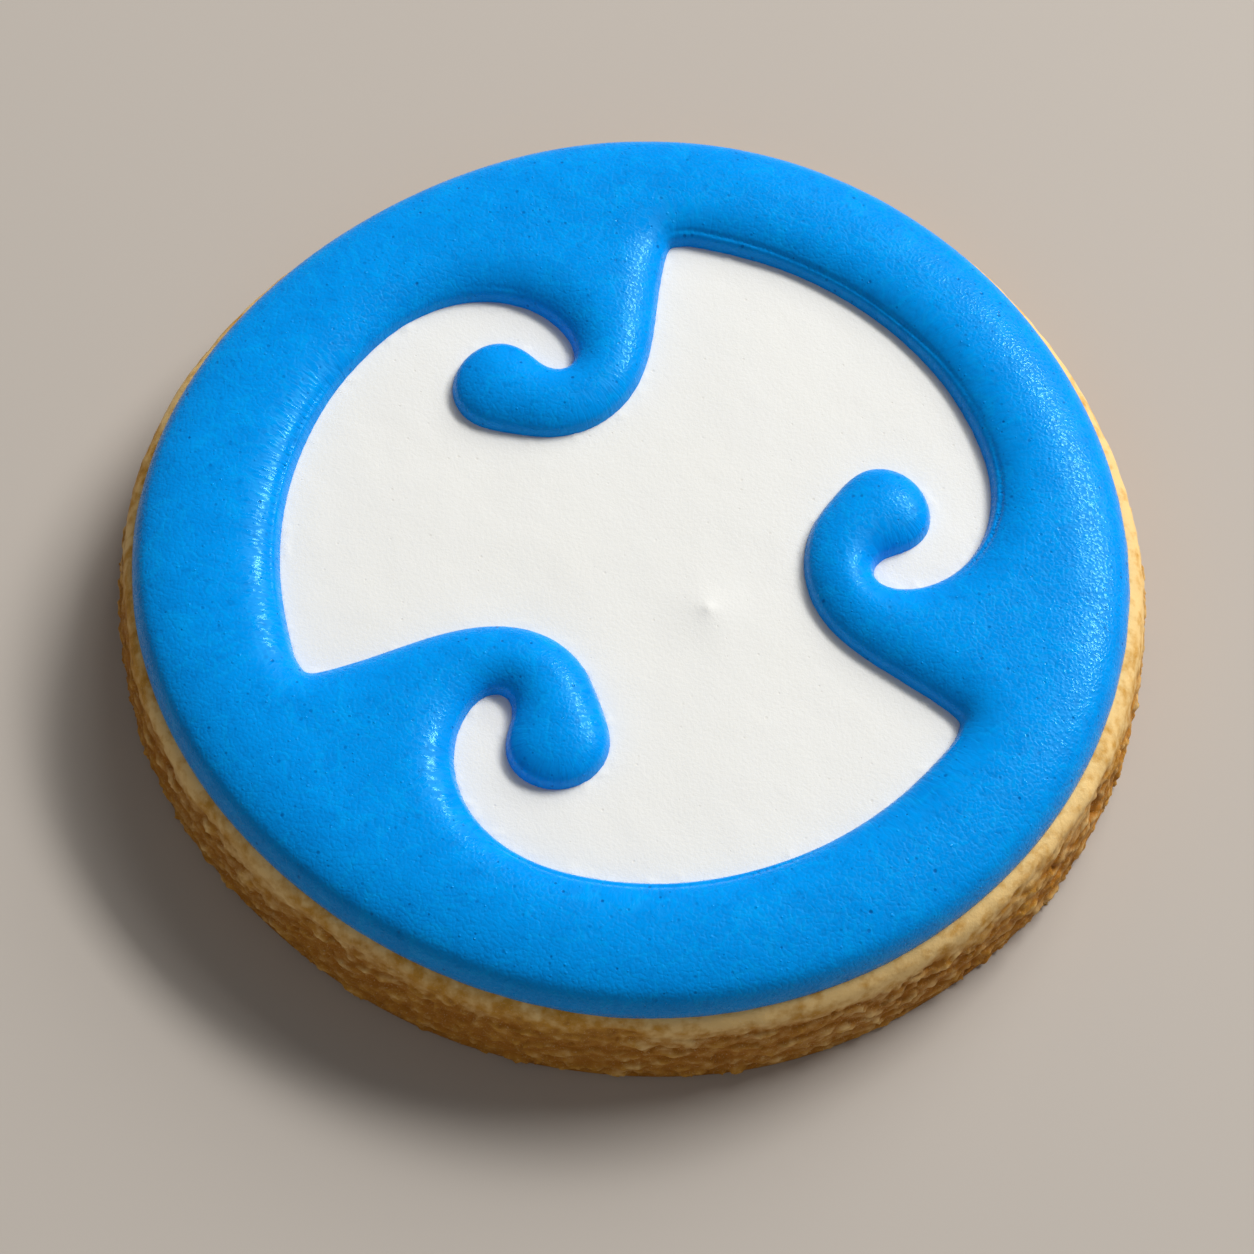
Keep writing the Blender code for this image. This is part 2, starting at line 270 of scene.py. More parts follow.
def new_piece(name, points, faces, finish, values):
    """Smooth-shaded mesh object at the origin, with named values at its points for the material to read."""
    mesh = bpy.data.meshes.new(name)
    mesh.from_pydata(points.tolist(), [], faces)
    mesh.shade_smooth()
    for label, value in values.items():
        kind, field = ("FLOAT", "value") if value.ndim == 1 else ("FLOAT_VECTOR", "vector")
        layer = mesh.attributes.new(label, kind, "POINT")
        layer.data.foreach_set(field, value.ravel().astype(np.float32))
    mesh.materials.append(finish)
    piece = bpy.data.objects.new(name, mesh)
    bpy.context.scene.collection.objects.link(piece)
    return piece


def feed(tree, socket, value):
    """Give an input another node's output, a plain value, or a colour of three numbers."""
    if isinstance(value, bpy.types.NodeSocket):
        tree.links.new(value, socket)
    elif socket.type == "RGBA":
        socket.default_value = (*value, 1.0)
    else:
        socket.default_value = value


def add_node(tree, kind, inputs=None, **settings):
    """Put a node in a tree with its settings and its inputs."""
    made = tree.nodes.new(kind)
    for key, value in settings.items():
        setattr(made, key, value)
    for key, value in (inputs or {}).items():
        feed(tree, made.inputs[key], value)
    return made


def blend_colours(tree, factor, first, second):
    """Colour that goes from the first to the second as the factor goes from 0 to 1."""
    return add_node(tree, "ShaderNodeMix", {0: factor, 6: first, 7: second}, data_type="RGBA").outputs[2]


def calculate(tree, operation, *values, clamp=False):
    """One step of arithmetic in a node tree."""
    inputs = dict(enumerate(values))
    return add_node(tree, "ShaderNodeMath", inputs, operation=operation, use_clamp=clamp).outputs[0]


def noise_texture(tree, place, per_metre, detail, **more):
    """Soft noise texture about 0.5, with this many lumps in a metre."""
    inputs = {"Vector": place, "Scale": per_metre, "Detail": detail, **more}
    return add_node(tree, "ShaderNodeTexNoise", inputs).outputs[0]


def ramp(tree, value, low, high, start=0.0, end=1.0, smooth=False):
    """Value that goes from start to end as the one given goes from low to high, and stays there."""
    inputs = {"Value": value, "From Min": low, "From Max": high, "To Min": start, "To Max": end}
    kind = "SMOOTHSTEP" if smooth else "LINEAR"
    return add_node(tree, "ShaderNodeMapRange", inputs, interpolation_type=kind).outputs[0]


def bump(tree, height, distance, strength=1.0, over=None, invert=False):
    """Normal of a surface that a height of 1 raises by this distance, or sinks where it is inverted.

    Another normal may be given for it to lie over.
    """
    inputs = {"Height": height, "Distance": distance, "Strength": strength}
    if over:
        inputs["Normal"] = over
    return add_node(tree, "ShaderNodeBump", inputs, invert=invert).outputs[0]


def stored(tree, label, output="Fac"):
    """Value that the points of the piece carry under this label."""
    return add_node(tree, "ShaderNodeAttribute", attribute_name=label).outputs[output]


def new_finish(name, roughness, specular):
    """Material with a Principled shader of this roughness and specular level, and its node tree."""
    made = bpy.data.materials.new(name)
    made.use_nodes = True
    shader = made.node_tree.nodes["Principled BSDF"]
    shader.inputs["Roughness"].default_value = roughness
    shader.inputs["Specular IOR Level"].default_value = specular
    return made, made.node_tree, shader


def new_group(name, inputs, outputs):
    """Node group with named inputs and plain number outputs: its tree, its input sockets and its end."""
    tree = bpy.data.node_groups.new(name, "ShaderNodeTree")
    for label, kind in inputs.items():
        tree.interface.new_socket(label, in_out="INPUT", socket_type=kind)
    for label in outputs:
        tree.interface.new_socket(label, in_out="OUTPUT", socket_type="NodeSocketFloat")
    return tree, add_node(tree, "NodeGroupInput").outputs, add_node(tree, "NodeGroupOutput").inputs


def fine_grain_group():
    """Group: a fine even grain, as a height from about -1 to 1 and as a mask of scattered specks."""
    inputs = {"Position": "NodeSocketVector", "Per Metre": "NodeSocketFloat"}
    tree, given, end = new_group("fine_grain", inputs, ("Height", "Specks"))
    grain = noise_texture(tree, given["Position"], given["Per Metre"], 3.0, Roughness=0.6)
    finer = calculate(tree, "MULTIPLY", given["Per Metre"], 2.7)
    speck = noise_texture(tree, given["Position"], finer, 1.0)
    tree.links.new(calculate(tree, "MULTIPLY_ADD", grain, 2.0, -1.0), end["Height"])
    tree.links.new(ramp(tree, speck, 0.62, 0.74), end["Specks"])
    return tree


FINE_GRAIN = fine_grain_group()


def biscuit_finish():
    """Baked crust: pale to golden to brown by the baked value and its painted shade, painted amber shade in
    the hollows, fine sugary grain.
    """
    finish, tree, shader = new_finish("baked_biscuit", 0.72, 0.30)
    place = add_node(tree, "ShaderNodeTexCoord").outputs["Object"]
    grain = add_node(tree, "ShaderNodeGroup", {"Position": place, "Per Metre": CRUST_GRAINS_PER_METRE},
                     node_tree=FINE_GRAIN).outputs
    mottle = noise_texture(tree, place, CRUST_MOTTLES_PER_METRE, 3.0)
    uneven = calculate(tree, "MULTIPLY_ADD", mottle, 1.6, -0.8)
    # The stored value holds painted shade as well as browning
    baked_and_shaded = calculate(tree, "ADD", stored(tree, "bake_and_shade"), uneven, clamp=True)
    colour = blend_colours(tree, ramp(tree, baked_and_shaded, 0.05, 0.55), PALE_CRUST, GOLDEN_CRUST)
    colour = blend_colours(tree, ramp(tree, baked_and_shaded, 0.60, 1.05), colour, BROWN_CRUST)
    patchy = calculate(tree, "ADD", mottle, 0.55)
    # Painted shade: hollows, pits and the undersides of ledges are tinted amber
    painted_hollow_shade = calculate(tree, "MULTIPLY", stored(tree, "hollow"), patchy, clamp=True)
    colour = blend_colours(tree, painted_hollow_shade, colour, AMBER_HOLLOW_SHADE)
    colour = blend_colours(tree, calculate(tree, "MULTIPLY", grain["Specks"], 0.35), colour, SUGAR_SPECK)
    tree.links.new(colour, shader.inputs["Base Color"])
    tree.links.new(bump(tree, grain["Height"], CRUST_GRAIN_DEPTH, 0.9), shader.inputs["Normal"])
    return finish


def underside_points(edge, spacing):
    """The tray side: a honeycomb within the edge ring, faintly hollowed by soft noise, never below flat."""
    plan = honeycomb(BISCUIT_DIAMETER / 2, spacing)
    plan = plan[np.hypot(*plan.T) < np.hypot(*edge.T).min() - spacing * 0.6]
    flat = np.column_stack([plan, np.zeros(len(plan))])
    hollow = smooth_step(0.15, 0.9, layered_noise(flat, 0.0036, 101, 2))
    flat[:, 2] = UNDERSIDE_HOLLOW_DEPTH * hollow
    return flat, hollow


side, side_hollow = biscuit_surface(SIDE_COLUMNS, SIDE_ROWS)
edge = side[0, :, :2]
base, base_hollow = underside_points(edge, UNDERSIDE_SPACING)
points = np.concatenate([side.reshape(-1, 3), base])
hollow = np.concatenate([side_hollow.ravel(), 0.5 * base_hollow])
bake_and_shade = baked_and_shaded_colour(points, hollow)
# The tray browns the underside, but less in its hollows
bake_and_shade[-len(base):] += 0.22 - 0.25 * base_hollow
side_count = SIDE_ROWS * SIDE_COLUMNS
number = np.concatenate([np.arange(SIDE_COLUMNS), side_count + np.arange(len(base))])
faces = ring_faces(SIDE_ROWS, SIDE_COLUMNS) + [list(range(side_count - SIDE_COLUMNS, side_count))]
faces += number[triangles_between([edge], base[:, :2])][:, ::-1].tolist()
biscuit = new_piece("biscuit_baked", points, faces, biscuit_finish(), {"hollow": hollow, "bake_and_shade": bake_and_shade})
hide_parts("biscuit")
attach(biscuit, "root")


# ---- White icing --------------------------------------------------------------------------------
# The field: runny white royal icing flooded inside the border and dried flat and matt. It has pinholes
# where air came up, faint ripples, and one small peak where the piping tip was lifted off.

FIELD_HEIGHT = 0.0011
FIELD_DIAMETER = 0.0544
FIELD_CENTRE = (0.0008, -0.0002)
UNDER_BORDER = 0.0007
SUNK = 0.0003
RIPPLE_HEIGHT = 0.00004
FINE_RIPPLE_HEIGHT = 0.000008
LUMP_HEIGHT = 0.00010
PEAK = (0.0056, -0.0052)
PEAK_FOOT_HEIGHT = 0.00013
PEAK_FOOT_WIDTH = 0.0024
PEAK_TIP_HEIGHT = 0.00020
PEAK_TIP_WIDTH = 0.00050
WHITE_ICING = (0.865, 0.872, 0.855)
CREAMY_ICING = (0.885, 0.887, 0.855)
TAN_SPECK = (0.52, 0.42, 0.29)
WHITE_GRAINS_PER_METRE = 4200.0
WHITE_GRAIN_DEPTH = 0.000016
WHITE_PINHOLES = {"Per Metre": 1300.0, "Radius": 0.17, "Share": 0.30}
WHITE_PINHOLE_DEPTH = 0.00003
FINE_STEP = 0.00015
FIELD_SPACING = 0.00027
# One wave of the field's edge, clockwise: degrees from its place, and depth as a part of its reach.
# It goes into the pocket behind the crest, round the ball at the end of the curl, along the belly
# and out to the sharp root.
WAVE_REACH = 0.0160
WAVE = (
    (38.0, 0.00), (25.0, 0.00), (14.2, 0.07), (6.2, 0.20), (0.9, 0.35), (-1.8, 0.50), (-1.7, 0.62),
    (2.1, 0.67), (6.3, 0.625), (7.8, 0.51), (11.1, 0.40), (16.6, 0.345), (23.3, 0.36), (29.4, 0.45),
    (32.5, 0.60), (30.5, 0.73), (25.6, 0.85), (19.2, 0.96), (7.9, 1.02), (-4.6, 1.00), (-14.6, 0.905),
    (-20.0, 0.75), (-22.1, 0.555), (-22.6, 0.335), (-23.2, 0.155), (-23.7, 0.055), (-24.2, 0.015),
    (-25.4, 0.01), (-27.0, -0.005), (-30.0, 0.00), (-38.0, 0.00),
)
# Each wave piped by hand: place in degrees, depth and breadth against the first
WAVES = ((112.0, 1.00, 1.00), (-6.5, 0.95, 0.97), (-129.0, 1.04, 1.03))


def smooth_closed_curve(corners, per_span):
    """Cubic B-spline round a closed list of corners: each point is the usual blend of four corners."""
    t = np.linspace(0.0, 1.0, per_span, endpoint=False)[None, :, None]
    before, here, after, later = (np.roll(corners, shift, axis=0)[:, None] for shift in (1, 0, -1, -2))
    blend = ((1 - t) ** 3 * before + (3 * t**3 - 6 * t**2 + 4) * here
             + (-3 * t**3 + 3 * t**2 + 3 * t + 1) * after + t**3 * later)
    return (blend / 6).reshape(-1, 2)


def even_steps(loop, step):
    """The same closed loop with its points an even step apart."""
    closed = np.concatenate([loop, loop[:1]])
    reached = np.concatenate([[0.0], np.cumsum(np.linalg.norm(np.diff(closed, axis=0), axis=1))])
    place = np.linspace(0.0, reached[-1], int(reached[-1] / step), endpoint=False)
    return np.stack([np.interp(place, reached, closed[:, axis]) for axis in (0, 1)], axis=1)


def field_outline(per_span):
    """Edge of the field, clockwise: the wave's corners repeated, with arcs of the field between."""
    corners = []
    for number, (place, depth, breadth) in enumerate(WAVES):
        corners += [(place + turn * breadth, reach * depth) for turn, reach in WAVE]
        arc_start = place + WAVE[-1][0] * breadth
        next_place, _, next_breadth = WAVES[(number + 1) % len(WAVES)]
        arc_end = next_place + WAVE[0][0] * next_breadth
        arc_end -= 360.0 * np.ceil((arc_end - arc_start) / 360.0)
        corners += [(turn, 0.0) for turn in np.linspace(arc_start, arc_end, 6)[1:-1]]
    turn, reach = np.array(corners).T
    radius = FIELD_DIAMETER / 2 - WAVE_REACH * reach
    ring = np.stack([radius * np.cos(np.radians(turn)), radius * np.sin(np.radians(turn))], axis=1)
    return smooth_closed_curve(ring + FIELD_CENTRE, per_span)


FIELD_EDGE = even_steps(field_outline(30), FINE_STEP)


def soft_distance(points, loop, batch=2000):
    """Distance to a loop, rounded off where two stretches of it are equally near, and its slope.

    Every short length of the loop is weighed by the fourth power of its nearness, and the sum is
    scaled to give the true distance from a straight edge.
    """
    length = np.linalg.norm(np.roll(loop, -1, axis=0) - np.roll(loop, 1, axis=0), axis=1) / 2
    distance = np.empty(len(points))
    slope = np.empty((len(points), 2))
    for part in np.array_split(np.arange(len(points)), len(points) // batch + 1):
        away = points[part, None] - loop
        square = np.maximum((away**2).sum(axis=2), 1e-14)
        weight = 2 / np.pi * length / square**2
        total = weight.sum(axis=1)
        distance[part] = total ** (-1 / 3)
        slope[part] = (4 / 3 * total ** (-4 / 3) * np.einsum("ij,ijk->ki", weight / square, away)).T
    return distance, slope


def rows_inward(edge, fine_loop, depths):
    """Copies of an edge moved to its left, in short steps the steepest way up, which never cross."""
    along = np.roll(edge, -1, axis=0) - np.roll(edge, 1, axis=0)
    left = np.stack([-along[:, 1], along[:, 0]], axis=1) / np.linalg.norm(along, axis=1)[:, None]
    place = edge
    rows = [edge]
    for near, far in zip(depths[:-1], depths[1:]):
        steps = int(np.ceil((far - near) / FINE_STEP))
        for step in range(steps):
            if near + (far - near) * step / steps > 2 * FINE_STEP:
                _, slope = soft_distance(place, fine_loop)
                left = slope / (slope**2).sum(axis=1)[:, None]
            place = place + left * (far - near) / steps
        rows.append(place)
    return np.array(rows)


def icing_body(edges, loose):
    """Plan points and faces of a closed body of icing, and the numbers of the points on its foot.

    An edge is an array of rows of plan points, the icing at its left, starting with the foot. Strips
    of quads join the rows, triangles fill the middle through the loose points, and more close the
    underside.
    """
    plan = np.concatenate([edge.reshape(-1, 2) for edge in edges] + [loose])
    faces = []
    first = []
    last = []
    start = 0
    for edge in edges:
        rows, columns = edge.shape[:2]
        faces += (start + np.array(ring_faces(rows, columns))).tolist()
        first.append(start + np.arange(columns))
        last.append(start + (rows - 1) * columns + np.arange(columns))
        start += rows * columns
    top = np.concatenate(last + [start + np.arange(len(loose))])
    faces += top[triangles_between([plan[loop] for loop in last], loose)].tolist()
    foot = np.concatenate(first)
    faces += foot[triangles_between([plan[loop] for loop in first], np.empty((0, 2)))][:, ::-1].tolist()
    return plan, faces, foot


def white_surface(plan):
    """Level of the field: flat, with faint ripples, lumps where it met the border, and one low peak.

    The peak is a low bell curve that carries a thin tip, which dies away exponentially.
    """
    lifted = np.column_stack([plan, np.zeros(len(plan))])
    ripple = RIPPLE_HEIGHT * layered_noise(lifted, 0.0075, 71, 2)
    ripple = ripple + FINE_RIPPLE_HEIGHT * layered_noise(lifted, 0.0016, 73, 2)
    near, _ = soft_distance(plan, FIELD_EDGE)
    lumps = np.clip(soft_noise(lifted, 0.0007, 77) - 0.3, 0.0, 1.0) * smooth_step(0.0009, 0.0002, near)
    far = np.hypot(*(plan - PEAK).T)
    peak = PEAK_FOOT_HEIGHT * np.exp(-(far / PEAK_FOOT_WIDTH) ** 2)
    peak = peak + PEAK_TIP_HEIGHT * np.exp(-far / PEAK_TIP_WIDTH)
    return BISCUIT_TOP + FIELD_HEIGHT + ripple + LUMP_HEIGHT * lumps + peak


def pinhole_group():
    """Group: scattered round pinholes, as a mask that is 1 in them.

    Cells of this many per metre each hold one centre, and a share of them have a hole of about this
    radius, given as a part of a cell.
    """
    numbers = dict.fromkeys(("Per Metre", "Radius", "Share"), "NodeSocketFloat")
    tree, given, end = new_group("pinholes", {"Position": "NodeSocketVector", **numbers}, ("Mask",))
    cells = add_node(tree, "ShaderNodeTexVoronoi", {"Vector": given["Position"], "Scale": given["Per Metre"]})
    lot = add_node(tree, "ShaderNodeSeparateColor", {0: cells.outputs["Color"]}).outputs
    chosen = calculate(tree, "LESS_THAN", lot[0], given["Share"])
    reach = calculate(tree, "MULTIPLY", given["Radius"], calculate(tree, "MULTIPLY_ADD", lot[1], 0.9, 0.4))
    far = calculate(tree, "DIVIDE", cells.outputs["Distance"], reach)
    depth = calculate(tree, "SUBTRACT", 1.0, far, clamp=True)
    soft = ramp(tree, depth, 0.0, 0.7, smooth=True)
    strength = calculate(tree, "MULTIPLY", chosen, calculate(tree, "MULTIPLY_ADD", lot[2], 0.7, 0.3))
    tree.links.new(calculate(tree, "MULTIPLY", soft, strength), end["Mask"])
    return tree


PINHOLES = pinhole_group()


def pinholes(tree, place, numbers):
    """Mask that the pinhole group gives for these numbers."""
    holes = add_node(tree, "ShaderNodeGroup", {"Position": place, **numbers}, node_tree=PINHOLES)
    return holes.outputs["Mask"]


def white_finish():
    """Dried royal icing: warm white, matt, a fine sugary grain, tan specks in the pinholes."""
    finish, tree, shader = new_finish("white_icing", 0.60, 0.30)
    place = add_node(tree, "ShaderNodeTexCoord").outputs["Object"]
    grain = add_node(tree, "ShaderNodeGroup", {"Position": place, "Per Metre": WHITE_GRAINS_PER_METRE},
                     node_tree=FINE_GRAIN).outputs
    holes = pinholes(tree, place, WHITE_PINHOLES)
    colour = blend_colours(tree, noise_texture(tree, place, 160.0, 2.0), WHITE_ICING, CREAMY_ICING)
    colour = blend_colours(tree, calculate(tree, "MULTIPLY", holes, 0.30), colour, TAN_SPECK)
    tree.links.new(colour, shader.inputs["Base Color"])
    grainy = bump(tree, grain["Height"], WHITE_GRAIN_DEPTH, 0.8)
    pitted = bump(tree, holes, WHITE_PINHOLE_DEPTH, over=grainy, invert=True)
    tree.links.new(pitted, shader.inputs["Normal"])
    return finish


covered = rows_inward(field_outline(8), FIELD_EDGE, (0.0, UNDER_BORDER - 0.0001, UNDER_BORDER))[:0:-1]
loose = honeycomb(FIELD_DIAMETER / 2, FIELD_SPACING) + FIELD_CENTRE
loose = loose[inside(loose, FIELD_EDGE)]
plan, faces, foot = icing_body([covered[:, ::-1]], loose)
level = white_surface(plan)
level[foot] = BISCUIT_TOP - SUNK
field = new_piece("white_icing_field", np.column_stack([plan, level]), faces, white_finish(), {})
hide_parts("white_icing")
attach(field, "root")


# ---- Blue icing ---------------------------------------------------------------------------------
# The border: thick blue icing piped round the rim in one go, rolled inwards into three waves. It dried
# with a satin, finely crinkled skin, puffed in the middle, on a thin bead that was piped first as its edge.

BORDER_HEIGHT = 0.0034
ICING_DIAMETER = 0.0738
ICING_CENTRE = (0.0002, 0.0)
EDGE_SHARE = 0.32
INNER_ROUND = 0.0005
OUTER_ROUND = 0.0012
INNER_SHOULDER = 0.0042
OUTER_SHOULDER = 0.0062
# Waves round the outer edge, as for the biscuit
RIM_WAVER = ((2, 0.00017, 0.1), (3, 0.00041, 3.5), (4, 0.00022, -0.1))
BEAD_AT = 0.00040
BEAD_WIDTH = 0.00016
BEAD_HEIGHT = 0.00005
CREASE_AT = 0.00074
CREASE_WIDTH = 0.00014
CREASE_DEPTH = 0.00010
PUCKER_WIDTH = 0.00012
SWELL_HEIGHT = 0.00007
CRINKLE_HEIGHT = 0.000010
RIM_SUNK = 0.0009
BORDER_SPACING = 0.00026
BLUE_ICING = (0.0, 0.285, 0.86)
BRIGHT_BLUE = (0.0, 0.325, 0.94)
DARK_BLUE = (0.0, 0.10, 0.40)
PALE_VEIN = (0.0, 0.42, 1.0)
GLOSS_TINT = (0.34, 1.0, 1.0)
BLUE_PINHOLES = {"Per Metre": 1500.0, "Radius": 0.25, "Share": 0.34}
BLUE_PINHOLE_DEPTH = 0.000025
BLUE_PIMPLES = {"Per Metre": 1700.0, "Radius": 0.20, "Share": 0.45}
PIMPLE_HEIGHT = 0.000035
CRINKLES_PER_METRE = 3900.0
CRINKLE_DEPTH = 0.000026
COARSE_CRINKLES_PER_METRE = 2300.0
COARSE_CRINKLE_DEPTH = 0.000008
# Depths from each edge, in metres, at which a row of points runs along it
INNER_ROWS = (0.0, 0.00002, 0.00008, 0.00018, 0.00030, 0.00040, 0.00050, 0.00060, 0.00070, 0.00080, 0.00089,
              0.00097, 0.00105, 0.00113, 0.00122, 0.00132, 0.00145)
OUTER_ROWS = (0.0, 0.00002, 0.00006, 0.00013, 0.00024, 0.00038, 0.00055, 0.00075, 0.00098)


def rim_outline(segments):
    """Outer edge of the border, counterclockwise: a circle with a small waver."""
    angle = np.linspace(0.0, 2 * np.pi, segments, endpoint=False)
    radius = ICING_DIAMETER / 2 + waver(angle, RIM_WAVER)
    return np.stack([radius * np.cos(angle), radius * np.sin(angle)], axis=1) + ICING_CENTRE


RIM_EDGE = even_steps(rim_outline(720), FINE_STEP)


def swell(depth):
    """Rise of a rounded edge from 0 to 1: a quarter circle, level from depth 1 on."""
    return np.sqrt(1 - (1 - np.clip(depth, 0, 1)) ** 2)


def edge_place(plan, squeeze=0.30, batch=2000):
    """Where each point lies from the field's edge: how far along it, and how far in.

    The way along is wrapped round a circle as long as the edge, so that it has no start, and the way
    in is squeezed, so that a pattern laid on it draws out across the band.
    """
    nearest = np.empty(len(plan), int)
    for part in np.array_split(np.arange(len(plan)), len(plan) // batch + 1):
        nearest[part] = ((plan[part, None] - FIELD_EDGE) ** 2).sum(axis=2).argmin(axis=1)
    turn = 2 * np.pi * nearest / len(FIELD_EDGE)
    reach = len(FIELD_EDGE) * FINE_STEP / (2 * np.pi)
    depth = np.linalg.norm(plan - FIELD_EDGE[nearest], axis=1)
    return np.stack([reach * np.cos(turn), reach * np.sin(turn), squeeze * depth], axis=1), depth


def blue_surface(plan):
    """Level of the border: a quarter circle up a short steep edge, added to a long one up the dome.

    The edge bead is a small ridge and the crease a soft groove along the inner edge, strong in
    places and gone in others. Slow swells and short crinkles lie over it all. Given back with it:
    the place from the edge, how far the crinkles there run straight across the band, and where
    the crease puckers.
    """
    lifted = np.column_stack([plan, np.zeros(len(plan))])
    inner, _ = soft_distance(plan, FIELD_EDGE)
    outer, _ = soft_distance(plan, RIM_EDGE)
    nearest = (inner**-3 + outer**-3) ** (-1 / 3)
    share = 1 / (1 + (outer / inner) ** 3)
    edge_round = INNER_ROUND + (OUTER_ROUND - INNER_ROUND) * share
    shoulder = INNER_SHOULDER + (OUTER_SHOULDER - INNER_SHOULDER) * share
    rise = EDGE_SHARE * swell(nearest / edge_round) + (1 - EDGE_SHARE) * swell(nearest / shoulder)
    place, depth = edge_place(plan)
    straight = smooth_step(0.84, 0.95, inner / np.maximum(depth, 1e-6))
    ring = smooth_step(0.0225, 0.0262, np.hypot(*(plan - FIELD_CENTRE).T))
    kept = straight * ring * smooth_step(-0.45, 0.30, soft_noise(lifted, 0.0080, 83))
    shift = 0.00012 * soft_noise(lifted, 0.0060, 87)
    bead = BEAD_HEIGHT * np.exp(-((inner - BEAD_AT - shift) / BEAD_WIDTH) ** 2)
    crease = CREASE_DEPTH * np.exp(-((inner - CREASE_AT - shift) / CREASE_WIDTH) ** 2)
    pucker = smooth_step(0.0, 0.35, soft_noise(lifted, 0.0120, 93)) * kept
    pucker *= np.exp(-((inner - CREASE_AT - shift) / PUCKER_WIDTH) ** 2)
    swells = SWELL_HEIGHT * rise * (layered_noise(lifted, 0.0095, 91, 2) - 0.9)
    crinkles = CRINKLE_HEIGHT * rise * layered_noise(lifted, 0.0013, 97, 2)
    across = straight * smooth_step(0.0040, 0.0020, depth)
    across = across * smooth_step(-0.2, 0.6, soft_noise(lifted, 0.0100, 89))
    level = BISCUIT_TOP + BORDER_HEIGHT * rise + kept * (bead - crease) + swells + crinkles
    return level, place, across, pucker


def off_middle(tree, texture):
    """How far a noise texture is from its middle value: 0 on winding lines, and rising beside them."""
    return calculate(tree, "ABSOLUTE", calculate(tree, "MULTIPLY_ADD", texture, 2.0, -1.0))


def crinkle_height(tree, place, scale):
    """Crinkled skin as a height: small domes packed together, cut by winding grooves.

    The domes fall with the square of the distance from their centres, which a noise has bent out of
    line, and the grooves lie where a second noise crosses its middle value.
    """
    bend = add_node(tree, "ShaderNodeTexNoise", {"Vector": place, "Scale": scale * 0.4, "Detail": 1.0})
    off = add_node(tree, "ShaderNodeVectorMath", {0: bend.outputs["Color"], 1: (0.5, 0.5, 0.5)},
                   operation="SUBTRACT").outputs[0]
    off = add_node(tree, "ShaderNodeVectorMath", {0: off, "Scale": 1.6 / scale}, operation="SCALE").outputs[0]
    bent = add_node(tree, "ShaderNodeVectorMath", {0: place, 1: off}, operation="ADD").outputs[0]
    far = add_node(tree, "ShaderNodeTexVoronoi", {"Vector": bent, "Scale": scale, "Smoothness": 0.3},
                   feature="SMOOTH_F1").outputs["Distance"]
    domes = calculate(tree, "MULTIPLY", far, far)
    groove = off_middle(tree, noise_texture(tree, bent, scale * 0.5, 1.0))
    return calculate(tree, "SUBTRACT", calculate(tree, "MULTIPLY", groove, 0.35), domes)


def blue_finish():
    """Blue icing skin: satin, crinkled finely enough to break its highlights up, with pinholes painted dark
    as shade.

    Its colour is cloudy, with darker blotches and thin pale veins. It is rougher between the domes of
    its crinkles, and painted a little darker there as shade.
    """
    finish, tree, shader = new_finish("blue_icing", 0.16, 0.21)
    feed(tree, shader.inputs["Specular Tint"], GLOSS_TINT)
    place = add_node(tree, "ShaderNodeTexCoord").outputs["Object"]
    holes = pinholes(tree, place, BLUE_PINHOLES)

    even = crinkle_height(tree, place, CRINKLES_PER_METRE)
    drawn = crinkle_height(tree, stored(tree, "edge_place", "Vector"), CRINKLES_PER_METRE)
    chosen = add_node(tree, "ShaderNodeMix", {0: stored(tree, "across"), 2: even, 3: drawn}).outputs[0]
    between = ramp(tree, chosen, -0.08, -0.30)
    tree.links.new(calculate(tree, "MULTIPLY_ADD", between, 0.34, 0.13), shader.inputs["Roughness"])

    cloud = ramp(tree, noise_texture(tree, place, 420.0, 4.0, Roughness=0.6), 0.34, 0.66)
    colour = blend_colours(tree, cloud, BLUE_ICING, BRIGHT_BLUE)
    blotch = ramp(tree, noise_texture(tree, place, 1500.0, 1.0), 0.60, 0.76, 0.0, 0.22)
    colour = blend_colours(tree, blotch, colour, DARK_BLUE)
    line = off_middle(tree, noise_texture(tree, place, 300.0, 1.5, Distortion=0.8))
    vein = ramp(tree, line, 0.0, 0.07, 1.0, 0.0, smooth=True)
    colour = blend_colours(tree, calculate(tree, "MULTIPLY", vein, 0.30), colour, PALE_VEIN)
    # Painted shade: the pinholes are darkened
    colour = blend_colours(tree, calculate(tree, "MULTIPLY", holes, 0.85), colour, DARK_BLUE)
    # Painted shade: a little darker between the domes of the crinkles
    colour = blend_colours(tree, calculate(tree, "MULTIPLY", between, 0.07), colour, DARK_BLUE)
    tree.links.new(colour, shader.inputs["Base Color"])

    coarse = crinkle_height(tree, place, COARSE_CRINKLES_PER_METRE)
    waved = bump(tree, coarse, COARSE_CRINKLE_DEPTH, 0.9)
    deeper = calculate(tree, "MULTIPLY_ADD", stored(tree, "pucker"), 2.5, 1.0)
    height = calculate(tree, "MULTIPLY", chosen, deeper)
    crinkled = bump(tree, height, CRINKLE_DEPTH, over=waved)
    pitted = bump(tree, holes, BLUE_PINHOLE_DEPTH, over=crinkled, invert=True)
    pimples = pinholes(tree, place, BLUE_PIMPLES)
    raised = bump(tree, pimples, PIMPLE_HEIGHT, over=pitted)
    tree.links.new(raised, shader.inputs["Normal"])
    return finish


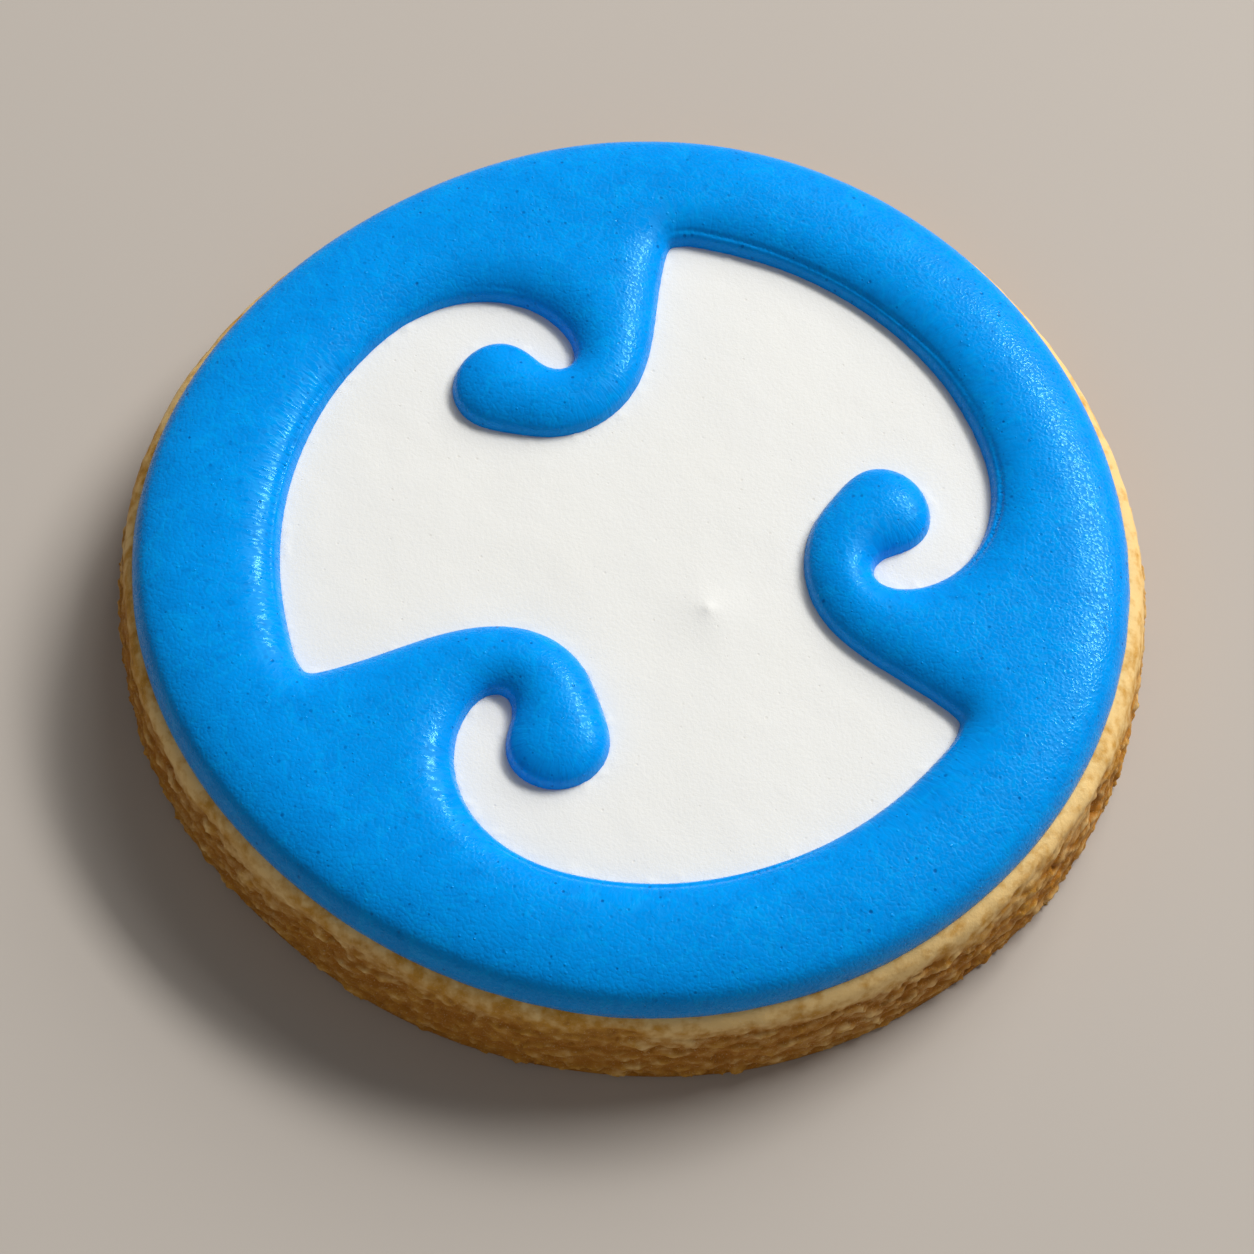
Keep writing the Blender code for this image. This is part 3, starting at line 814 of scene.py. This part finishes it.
inner_edge = rows_inward(field_outline(10), FIELD_EDGE, INNER_ROWS)
outer_edge = rows_inward(rim_outline(800), RIM_EDGE, OUTER_ROWS)
loose = honeycomb(ICING_DIAMETER / 2, BORDER_SPACING)
loose = loose[~inside(loose, FIELD_EDGE)]
from_field = soft_distance(loose, FIELD_EDGE)[0] - INNER_ROWS[-1]
from_rim = soft_distance(loose, RIM_EDGE)[0] - OUTER_ROWS[-1]
loose = loose[np.minimum(from_field, from_rim) > FINE_STEP]
plan, faces, foot = icing_body([outer_edge, inner_edge], loose)
level, place, across, pucker = blue_surface(plan)
level[foot] = BISCUIT_TOP - SUNK
level[:outer_edge.shape[1]] = BISCUIT_TOP - RIM_SUNK
border = new_piece("blue_icing_border", np.column_stack([plan, level]), faces, blue_finish(),
                   {"edge_place": place, "across": across, "pucker": pucker})
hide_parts("blue_icing")
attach(border, "root")


# ---- Table, light and camera --------------------------------------------------------------------
# A plain pale table top under the cookie. A broad soft key light stands at the far right, with a narrow
# panel like a window beside it, the only one that shows in the gloss, and a weak fill light in front.
# The camera looks down steeply from the front, rolled a little.

TABLE_REACH = 1.5
TABLE_LEVEL = -0.00002
TABLE_COLOUR = (0.52, 0.475, 0.43)
LAMP_COLOUR = (1.0, 0.985, 0.96)
ROOM_COLOUR = (1.0, 0.98, 0.95)
ROOM_STRENGTH = 0.13
# Each panel: name, watts, width, height, bearing and elevation in degrees, distance, seen in the gloss
PANELS = (
    ("key", 8.8, 0.75, 0.75, 57.0, 38.0, 1.2, False),
    ("window", 10.4, 0.66, 0.18, 42.0, 43.0, 1.2, True),
    ("fill", 1.1, 0.80, 0.80, -105.5, 28.2, 1.06, False),
)
VIEW_ELEVATION = np.radians(62.7)
VIEW_ROLL = np.radians(2.6)
VIEW_DISTANCE = 0.223
VIEW_TARGET = Vector((-0.0003, -0.0047, 0.0050))
FOCAL_LENGTH = 85.0
SENSOR_WIDTH = 36.0

mesh = bpy.data.meshes.new("table_top")
corners = [(x * TABLE_REACH, y * TABLE_REACH, TABLE_LEVEL) for x, y in ((-1, -1), (1, -1), (1, 1), (-1, 1))]
mesh.from_pydata(corners, [], [(0, 1, 2, 3)])
finish, tree, shader = new_finish("pale_table", 0.65, 0.2)
feed(tree, shader.inputs["Base Color"], TABLE_COLOUR)
mesh.materials.append(finish)
table_top = bpy.data.objects.new("table_top", mesh)
bpy.context.scene.collection.objects.link(table_top)


def area_light(name, power, width, height, bearing, elevation, distance, glints):
    """Warm white panel of this width and height that faces the cookie from a bearing and an elevation."""
    turn, lift = np.radians((bearing, elevation))
    place = Vector((np.cos(lift) * np.cos(turn), np.cos(lift) * np.sin(turn), np.sin(lift))) * distance
    light = bpy.data.lights.new(name, "AREA")
    light.shape = "RECTANGLE"
    light.energy = power
    light.size = width
    light.size_y = height
    light.color = LAMP_COLOUR
    lamp = bpy.data.objects.new(name, light)
    lamp.location = place
    lamp.visible_glossy = glints
    lamp.rotation_euler = place.to_track_quat("Z", "Y").to_euler()
    bpy.context.scene.collection.objects.link(lamp)


for panel in PANELS:
    area_light(*panel)

world = bpy.data.worlds.new("studio")
world.use_nodes = True
background = world.node_tree.nodes["Background"]
feed(world.node_tree, background.inputs["Color"], ROOM_COLOUR)
feed(world.node_tree, background.inputs["Strength"], ROOM_STRENGTH)
bpy.context.scene.world = world
bpy.context.scene.view_settings.view_transform = "Standard"

back = Vector((0.0, -np.cos(VIEW_ELEVATION), np.sin(VIEW_ELEVATION)))
right = Vector((1.0, 0.0, 0.0))
up = back.cross(right)
turned_right = right * np.cos(VIEW_ROLL) + up * np.sin(VIEW_ROLL)
turned_up = up * np.cos(VIEW_ROLL) - right * np.sin(VIEW_ROLL)
turn = Matrix((turned_right, turned_up, back)).transposed().to_4x4()
lens = bpy.data.cameras.new("camera")
lens.lens = FOCAL_LENGTH
lens.sensor_width = SENSOR_WIDTH
lens.clip_start = 0.01
camera = bpy.data.objects.new("camera", lens)
camera.matrix_world = Matrix.Translation(VIEW_TARGET + back * VIEW_DISTANCE) @ turn
bpy.context.scene.collection.objects.link(camera)
bpy.context.scene.camera = camera
